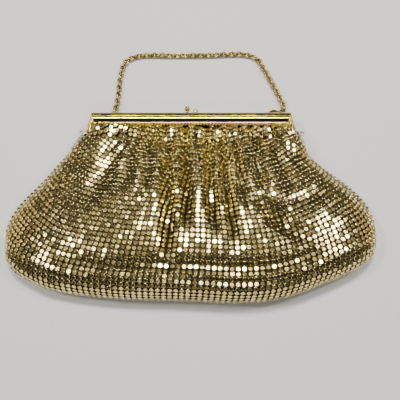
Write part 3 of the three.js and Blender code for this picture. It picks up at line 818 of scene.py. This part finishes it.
def mesh_plates(is_front, copies, plate, material):
    """The plates of one side, narrowed where the columns crowd, which hang looser lower down. How
    far they turn aside sets a painted reflection of facing gold on the sides of folds."""
    across, down, room = plate_lattice(is_front).T
    point, along, out = surface_frame(across, down, is_front)
    points = point - out * (PLATE_RIM + PLATE_CROWN)
    turns = [turn_of(a, o) for a, o in zip(along, out)]
    looseness = np.full(len(points), BACK_TILT_SHARE)
    if is_front:
        looseness = mix(NECK_TILT_SHARE, 1.0, smooth(down, 0.12, 0.4))
        room = room * (1 + FULLER_PLATES * (1 - smooth(down, 0.2, 0.5)))
    stretches = np.ones((len(points), 3))
    stretches[:, 0] = clamp(room, LEAST_WIDTH, 1.0)
    inner = 1 - smooth(np.abs(across), 0.72, 0.86)
    # Share of painted reflection: plates in the inner folds that turn aside get the yellow of
    # facing gold.
    painted_flank_reflection = smooth(np.abs(out[:, 0]), 0.25, 0.6) * inner
    name, seed = ("mesh_front", 7) if is_front else ("mesh_back", 8)
    places = places_object(name, points, turns, stretches, looseness, painted_flank_reflection)
    return run_tree(places, copies, Copy=plate, Tilt=PLATE_TILT, Seed=seed, Material=material)


def mesh_rings(copies, material):
    """The little rings that join the plates, one in each gap between four plates."""
    ring = joined("ring_shape", [ring_shape(RING_RADIUS, RING_WIRE, 6, 3)])
    ring.data.shade_smooth()
    across, down, room = plate_lattice(True, half_step=0.5).T
    point, along, out = surface_frame(across, down, True)
    points = point - out * RING_INSET
    turns = [turn_of(a, o) for a, o in zip(along, out)]
    stretches = np.ones((len(points), 3)) * clamp(room, LEAST_WIDTH, 1.0)[:, None]
    places = places_object("mesh_rings", points, turns, stretches)
    piece = run_tree(places, copies, Copy=ring, Tilt=RING_TILT, Seed=11, Material=material)
    bpy.data.objects.remove(ring)
    return piece


def painted_shade_wall():
    """A near-black sheet under the plates, painted shade that shows between them, open at the
    mouth as the pouch is.
    """
    across = np.concatenate([np.linspace(-1, -0.9, 8), np.linspace(-0.9, 0.9, 181)[1:-1],
                             np.linspace(0.9, 1, 8)])
    back = across[1:-1][::-6]
    outer_down = np.sin(np.linspace(0, 1, 70) * math.pi / 2)
    inner_down = np.sin(np.linspace(0, 0.9, 30) * math.pi / 2)

    def ring(down, inset):
        front = pouch_point(across, np.full(len(across), down), True, inset, lapped=0.0)
        behind = pouch_point(back, np.full(len(back), down), False, inset)
        return np.concatenate([front, behind])

    rings = [ring(d, OUTER_WALL_INSET) for d in outer_down[::-1]]
    rings += [ring(d, INNER_WALL_INSET) for d in inner_down]
    piece = joined("mesh_lining_shadow", [loft_part(rings)])
    outward(piece)
    piece.data.shade_smooth()
    return piece


def bar_section():
    """The frame half's section: its face, then the inside of the sheet."""
    face = [(down * BAR_DEPTH, out * HALF_THICKNESS) for down, out in BAR_FACE]
    inside = min(out for _, out in BAR_FACE[5:]) * HALF_THICKNESS - FRAME_SHEET
    return face + [(BAR_DEPTH, inside), (FRAME_SHEET, inside), (FRAME_SHEET, 0.0)]


def frame_ring(station, section, half, shift=0.0, rise=0.0):
    """The section at one of the U's four stations, moved along the bar or leg from its corner."""
    side = -1 if station < 2 else 1
    points = []
    for down, out in section:
        share = down / BAR_DEPTH
        z = SEAM_Z + half * (PIECE_GAP / 2 + out + (rise if out > 0 else 0))
        if station in (0, 3):
            inward = share * LEG_WIDTH
            x = side * (FOOT_X - inward * math.cos(LEG_SLANT))
            y = FOOT_Y - inward * math.sin(LEG_SLANT)
        else:
            inward = share * LEG_WIDTH / math.cos(LEG_SLANT)
            x = side * (CORNER_X + down * math.tan(LEG_SLANT) - inward)
            y = FRAME_TOP_Y - down
        on_leg = shift * (1 if station == 1 else -1)
        if on_leg < 0:
            x += side * -on_leg * math.sin(LEG_SLANT)
            y += on_leg * math.cos(LEG_SLANT)
        else:
            x -= side * on_leg
        points.append((x, y, z))
    return points


def frame_half(half, material):
    """One half of the frame with its mitred corners, and the tabs or the ears that are part of
    it."""
    section = bar_section()
    mitre = [(-MITRE_REACH, 0.0), (-MITRE_REACH / 2, MITRE_RISE), (MITRE_REACH / 2, MITRE_RISE),
             (MITRE_REACH, 0.0)]
    rings = [frame_ring(0, section, half)]
    for station in (1, 2):
        rings += [frame_ring(station, section, half, shift, rise) for shift, rise in mitre]
    rings.append(frame_ring(3, section, half))
    parts = [loft_part(rings)]
    for side in (-1, 1):
        parts.append(hinge_tab(side) if half > 0 else ear(side))
    label = "frame_front" if half > 0 else "frame_back"
    piece = outward(joined(f"{label}_half", parts))
    soften(piece, 28)
    return finish_piece(piece, "polished_gold", material, label)


def hinge_tab(side):
    """The tab at a front leg's foot that reaches inside the back half's leg."""
    top = HINGE_FROM_SEAM + PIECE_GAP / 2 + 0.5 * HALF_THICKNESS
    outline = [(TAB_RADIUS * math.cos(a), TAB_RADIUS * math.sin(a))
               for a in np.linspace(-math.pi, 0, 15)]
    outline += [(TAB_RADIUS, top), (-TAB_RADIUS, top)]
    rings = []
    for depth in (0.0, TAB_DEPTH):
        inside = LEG_WALL_INSIDE - PIECE_GAP - TAB_DEPTH + depth
        rings.append([(side * (inside - y * math.sin(LEG_SLANT)), FOOT_Y + HINGE_FROM_FOOT + y,
                       SEAM_Z - HINGE_FROM_SEAM + z) for y, z in outline])
    return loft_part(rings)


def ear(side):
    """The wire loop that stands on the back half and holds the chain."""
    base = FRAME_TOP_Y - FRAME_SHEET / 2
    centre = FRAME_TOP_Y + EAR_RISE
    path = [(side * EAR_X, base, EAR_Z - EAR_RADIUS)]
    for angle in np.linspace(0, math.pi, 19):
        path.append((side * EAR_X, centre + EAR_RADIUS * math.sin(angle),
                     EAR_Z - EAR_RADIUS * math.cos(angle)))
    path.append((side * EAR_X, base, EAR_Z + EAR_RADIUS))
    path = np.array(path)
    along = np.gradient(path, axis=0)
    along /= np.linalg.norm(along, axis=1, keepdims=True)
    sideways = np.array([1.0, 0, 0])
    turns = [2 * math.pi * k / 12 for k in range(12)]
    rings = []
    for point, direction in zip(path, along):
        out = np.cross(direction, sideways)
        rings.append([point + EAR_WIRE * (math.cos(t) * out + math.sin(t) * sideways)
                      for t in turns])
    return loft_part(rings)


def turned_part(profile, sides=32):
    """Points and faces turned round the Z axis from (radius, height) rows, closed on the axis."""
    rings = [[(r * math.cos(a), r * math.sin(a), z)
              for a in (2 * math.pi * k / sides for k in range(sides))] for r, z in profile]
    return loft_part(rings)


def placed(part, matrix):
    points, faces = part
    return [tuple(matrix @ Vector(p)) for p in points], faces


def rivet(side, material):
    """A rivet with a domed head outside and a small one inside, on the hinge's axis."""
    head_from = LEG_FACE_X + RIVET_HEAD_RADIUS * math.tan(LEG_SLANT) + PIECE_GAP
    tail_to = LEG_WALL_INSIDE - PIECE_GAP - TAB_DEPTH - PIECE_GAP - TAB_RADIUS * math.tan(LEG_SLANT)
    tail = 0.7 * RIVET_HEAD_DEPTH
    tail_radius = 0.75 * RIVET_HEAD_RADIUS
    profile = [(0.02, tail_to - tail), (0.5 * RIVET_HEAD_RADIUS, tail_to - 0.9 * tail),
               (tail_radius, tail_to - 0.4 * tail), (tail_radius, tail_to),
               (RIVET_RADIUS, tail_to), (RIVET_RADIUS, head_from), (RIVET_HEAD_RADIUS, head_from)]
    for angle in np.linspace(0, math.pi / 2 - 0.05, 7):
        profile.append((RIVET_HEAD_RADIUS * math.cos(angle),
                        head_from + RIVET_HEAD_DEPTH * (0.25 + 0.75 * math.sin(angle))))
    turn = Matrix.Rotation(side * math.pi / 2, 4, "Y")
    place = Matrix.Translation((0, FOOT_Y + HINGE_FROM_FOOT, SEAM_Z - HINGE_FROM_SEAM))
    label = "left" if side < 0 else "right"
    piece = joined(f"hinge_rivet_{label}", [placed(turned_part(profile), place @ turn)])
    soften(outward(piece), 40)
    return finish_piece(piece, "polished_gold", material, f"hinge_pin_{label}")


def clasp_ball(half, material):
    """A snap ball on its stem and collar."""
    neck = math.asin(STEM_RADIUS / BALL_RADIUS)
    profile = [(0.02, 0.0), (COLLAR_RADIUS, 0.0), (COLLAR_RADIUS, 0.3 * COLLAR_DEPTH),
               (COLLAR_RADIUS - 0.2, 0.7 * COLLAR_DEPTH), (STEM_RADIUS + 0.25, COLLAR_DEPTH),
               (STEM_RADIUS, 1.5 * COLLAR_DEPTH)]
    for angle in np.linspace(math.pi - neck, 0.02, 20):
        profile.append((BALL_RADIUS * math.sin(angle), BALL_REACH + BALL_RADIUS * math.cos(angle)))
    lean = math.radians(BALL_LEAN)
    clear = PIECE_GAP + COLLAR_RADIUS * math.sin(lean)
    z = SEAM_Z + half * (PIECE_GAP / 2 + BALL_FROM_SEAM)
    place = Matrix.Translation((-half * BALL_SPACING / 2, FRAME_TOP_Y + clear, z))
    turn = Matrix.Rotation(-math.pi / 2 - half * lean, 4, "X")
    label = "front" if half > 0 else "back"
    piece = joined(f"clasp_ball_{label}", [placed(turned_part(profile), place @ turn)])
    soften(outward(piece), 50)
    return finish_piece(piece, "polished_gold", material, f"clasp_knob_{label}")


def hanger_wire(half, coil, material):
    """The spiral wire sewn through the lip of one frame half."""
    z = SEAM_Z + half * (PIECE_GAP / 2 + COIL_FROM_SEAM + LOOP_RISE)
    foot, top = FOOT_Y + LOOP_AWAY, LIP_Y - LOOP_AWAY
    foot_x, top_x = leg_inside(foot) - LOOP_AWAY, leg_inside(top) - LOOP_AWAY
    route = [(-foot_x, foot, z), (-top_x, top, z), (top_x, top, z), (foot_x, foot, z)]
    label = "front" if half > 0 else "back"
    path = bpy.data.curves.new(f"spiral_wire_{label}", "CURVE")
    path.dimensions = "3D"
    spline = path.splines.new("POLY")
    spline.points.add(len(route) - 1)
    for point, place in zip(spline.points, route):
        point.co = (*[v * MM for v in place], 1)
    piece = bpy.data.objects.new(f"spiral_wire_{label}", path)
    bpy.context.scene.collection.objects.link(piece)
    piece = run_tree(piece, coil, Coil_radius=LOOP_RADIUS * MM, Wire_radius=COIL_WIRE * MM,
                     Turn_pitch=COIL_PITCH * MM, Material=material)
    return finish_piece(piece, "polished_gold", material, f"hanger_coil_{label}")


def chain_joints():
    """Where each link meets the next, at equal steps along the route from ear to ear."""
    hold = FRAME_TOP_Y + EAR_RISE + EAR_RADIUS - EAR_WIRE - PIECE_GAP - LINK_BITE / 2
    knots = [(-EAR_X, hold, EAR_Z)]
    knots += [(across * EAR_X, FRAME_TOP_Y + behind * HANDLE_REACH, CHAIN_REST + rise)
              for across, behind, rise in CHAIN_ROUTE]
    knots.append((EAR_X, hold, EAR_Z))
    knots = np.array(knots)
    knots = np.concatenate([[2 * knots[0] - knots[1]], knots, [2 * knots[-1] - knots[-2]]])
    route = []
    for i in range(1, len(knots) - 2):
        before, start, end, after = knots[i - 1:i + 3]
        gaps = [max(np.linalg.norm(b - a), 1e-6) ** 0.5
                for a, b in ((before, start), (start, end), (end, after))]
        leave = ((start - before) / gaps[0] - (end - before) / (gaps[0] + gaps[1])
                 + (end - start) / gaps[1]) * gaps[1]
        arrive = ((end - start) / gaps[1] - (after - start) / (gaps[1] + gaps[2])
                  + (after - end) / gaps[2]) * gaps[1]
        for t in np.linspace(0, 1, 60, endpoint=False):
            route.append(start * (1 + 2 * t) * (1 - t) ** 2 + end * t * t * (3 - 2 * t)
                         + leave * t * (1 - t) ** 2 + arrive * t * t * (t - 1))
    route = np.array(route + [knots[-2]])
    length = arc_lengths(route, 0)
    pairs = round((length[-1] / LINK_PITCH - 1) / 2)
    at = np.linspace(0, length[-1], 2 * pairs + 2)
    return np.stack([np.interp(at, length, route[:, k]) for k in range(3)], axis=1)


def chain(copies, material):
    """The handle: oval links, each turned a quarter against the last."""
    joints = chain_joints()
    length = LINK_PITCH / 2 + LINK_WIRE - LINK_BITE / 2
    radius = LINK_WIDTH / 2 - LINK_WIRE
    oval = joined("link_shape", [ring_shape(radius, LINK_WIRE, 24, 8, length=length)])
    oval.data.shade_smooth()
    turns, stretches = [], []
    for i in range(len(joints) - 1):
        step = joints[i + 1] - joints[i]
        reach = np.linalg.norm(step)
        along = step / reach
        across = np.cross((0, 0, 1), along)
        across /= np.linalg.norm(across)
        normal = np.cross(along, across)
        roll = math.radians(LINK_TURN + 90 * (i % 2))
        turns.append(turn_of(along, math.cos(roll) * normal - math.sin(roll) * across))
        stretches.append(((reach / 2 + LINK_WIRE - LINK_BITE / 2) / length, 1, 1))
    places = places_object("handle_chain", (joints[1:] + joints[:-1]) / 2, turns, stretches)
    piece = run_tree(places, copies, Copy=oval, Tilt=0.0, Seed=3, Material=material)
    bpy.data.objects.remove(oval)
    return finish_piece(piece, "gold_chain", material, "chain")


# Stage, lights and camera

def stage():
    bpy.ops.mesh.primitive_plane_add(size=FLOOR_SIZE, location=(0, 0, FLOOR_Z * MM))
    floor = bpy.context.object
    floor.name = "floor"
    floor.data.materials.append(floor_material())


def soft_light(name, place, power, size, target=(0, 0, 0), height=None, color=(1, 1, 1)):
    light = bpy.data.lights.new(name, "AREA")
    light.energy = power
    light.color = color
    light.size = size
    if height:
        light.shape = "RECTANGLE"
        light.size_y = height
    lamp = bpy.data.objects.new(name, light)
    lamp.location = place
    aim = Vector(target) - Vector(place)
    lamp.rotation_euler = aim.to_track_quat("-Z", "Y").to_euler()
    bpy.context.scene.collection.objects.link(lamp)


def lights():
    world = bpy.data.worlds.new("studio")
    world.use_nodes = True
    background = world.node_tree.nodes["Background"]
    background.inputs["Color"].default_value = (0.75, 0.74, 0.72, 1)
    background.inputs["Strength"].default_value = 0.025
    bpy.context.scene.world = world
    soft_light("key_behind", (0.0, 0.40, 0.95), 9.0, 0.25, height=0.14, color=(1, 0.96, 0.9))
    soft_light("overhead_left", (-0.62, 0.10, 0.80), 4.0, 0.16, color=(1, 0.97, 0.93))
    soft_light("overhead_right", (0.55, 0.25, 0.80), 3.5, 0.14, color=(1, 0.97, 0.93))
    soft_light("fill_front", (0.1, -0.9, 0.7), 3.0, 0.3)
    soft_light("panel_behind", (0.0, 0.95, 0.60), 0.3, 0.5, height=0.8, color=(1, 0.95, 0.85))
    soft_light("panel_left", (-0.95, 0.35, 0.28), 0.55, 0.55, color=(1, 0.84, 0.5))
    soft_light("panel_right", (0.95, 0.35, 0.28), 0.5, 0.55, color=(1, 0.84, 0.5))


def camera():
    data = bpy.data.cameras.new("camera")
    data.sensor_width = 36.0
    data.lens = data.sensor_width / 2 / math.tan(math.radians(CAMERA_FIELD) / 2)
    data.clip_start = 0.01
    eye = bpy.data.objects.new("camera", data)
    tilt = math.radians(CAMERA_ELEVATION)
    target = Vector(CAMERA_TARGET) * MM
    eye.location = target + CAMERA_DISTANCE * MM * Vector((0, -math.cos(tilt), math.sin(tilt)))
    eye.rotation_euler = (target - eye.location).to_track_quat("-Z", "Y").to_euler()
    bpy.context.scene.collection.objects.link(eye)
    bpy.context.scene.camera = eye


def purse():
    wear = wear_group()
    # plate_gold paints a reflection of facing gold onto the sides of folds.
    plate_gold = plated("plate_gold", wear, (0.92, 0.78, 0.36), (0.60, 0.47, 0.17), 0.14, 0.12,
                        clouds=45.0, scratches=1500.0, bump=0.2, has_shade=True,
                        painted_reflection_color=(0.86, 0.73, 0.24))
    # Painted shade: the rings' gold is much darker than the plates', as they sit in the shaded gaps
    # between plates.
    ring_gold = plated("ring_gold", wear, (0.62, 0.48, 0.17), (0.28, 0.20, 0.05), 0.25, 0.2)
    frame_gold = plated("frame_gold", wear, (0.86, 0.74, 0.28), (0.68, 0.56, 0.17), 0.05, 0.05,
                        clouds=30.0, scratches=1200.0, bump=0.12)
    # Painted light: the coil's gold is paler and brighter than the frame's, to lift the wire out of
    # the lip's shade.
    coil_gold = plated("coil_gold", wear, (0.95, 0.79, 0.34), (0.75, 0.58, 0.20), 0.32, 0.15)
    # Painted shade: the chain's gold is darker than the frame's, so it reads as dark as metal lying
    # in shade.
    chain_gold = plated("chain_gold", wear, (0.56, 0.42, 0.14), (0.26, 0.18, 0.05), 0.17, 0.16,
                        clouds=120.0, has_shade=True)
    # Near-black painted shade for the sheet under the plates, seen through the gaps between them.
    shadow = plated("plate_backs", wear, (0.03, 0.022, 0.006), (0.015, 0.01, 0.003), 0.5, 0.3,
                    clouds=200.0)

    copies, coil = copies_tree(), coil_tree()
    plate = plate_shape()
    finish_piece(painted_shade_wall(), "gold_mesh", shadow, "mesh_bag")
    for is_front in (True, False):
        plates = mesh_plates(is_front, copies, plate, plate_gold)
        finish_piece(plates, "gold_mesh", plate_gold, "mesh_bag")
    finish_piece(mesh_rings(copies, ring_gold), "gold_mesh", ring_gold, "mesh_bag")
    bpy.data.objects.remove(plate)
    for half in (1, -1):
        frame_half(half, frame_gold)
        hanger_wire(half, coil, coil_gold)
        clasp_ball(half, frame_gold)
    for side in (-1, 1):
        rivet(side, frame_gold)
    chain(copies, chain_gold)


camera()
purse()
stage()
lights()
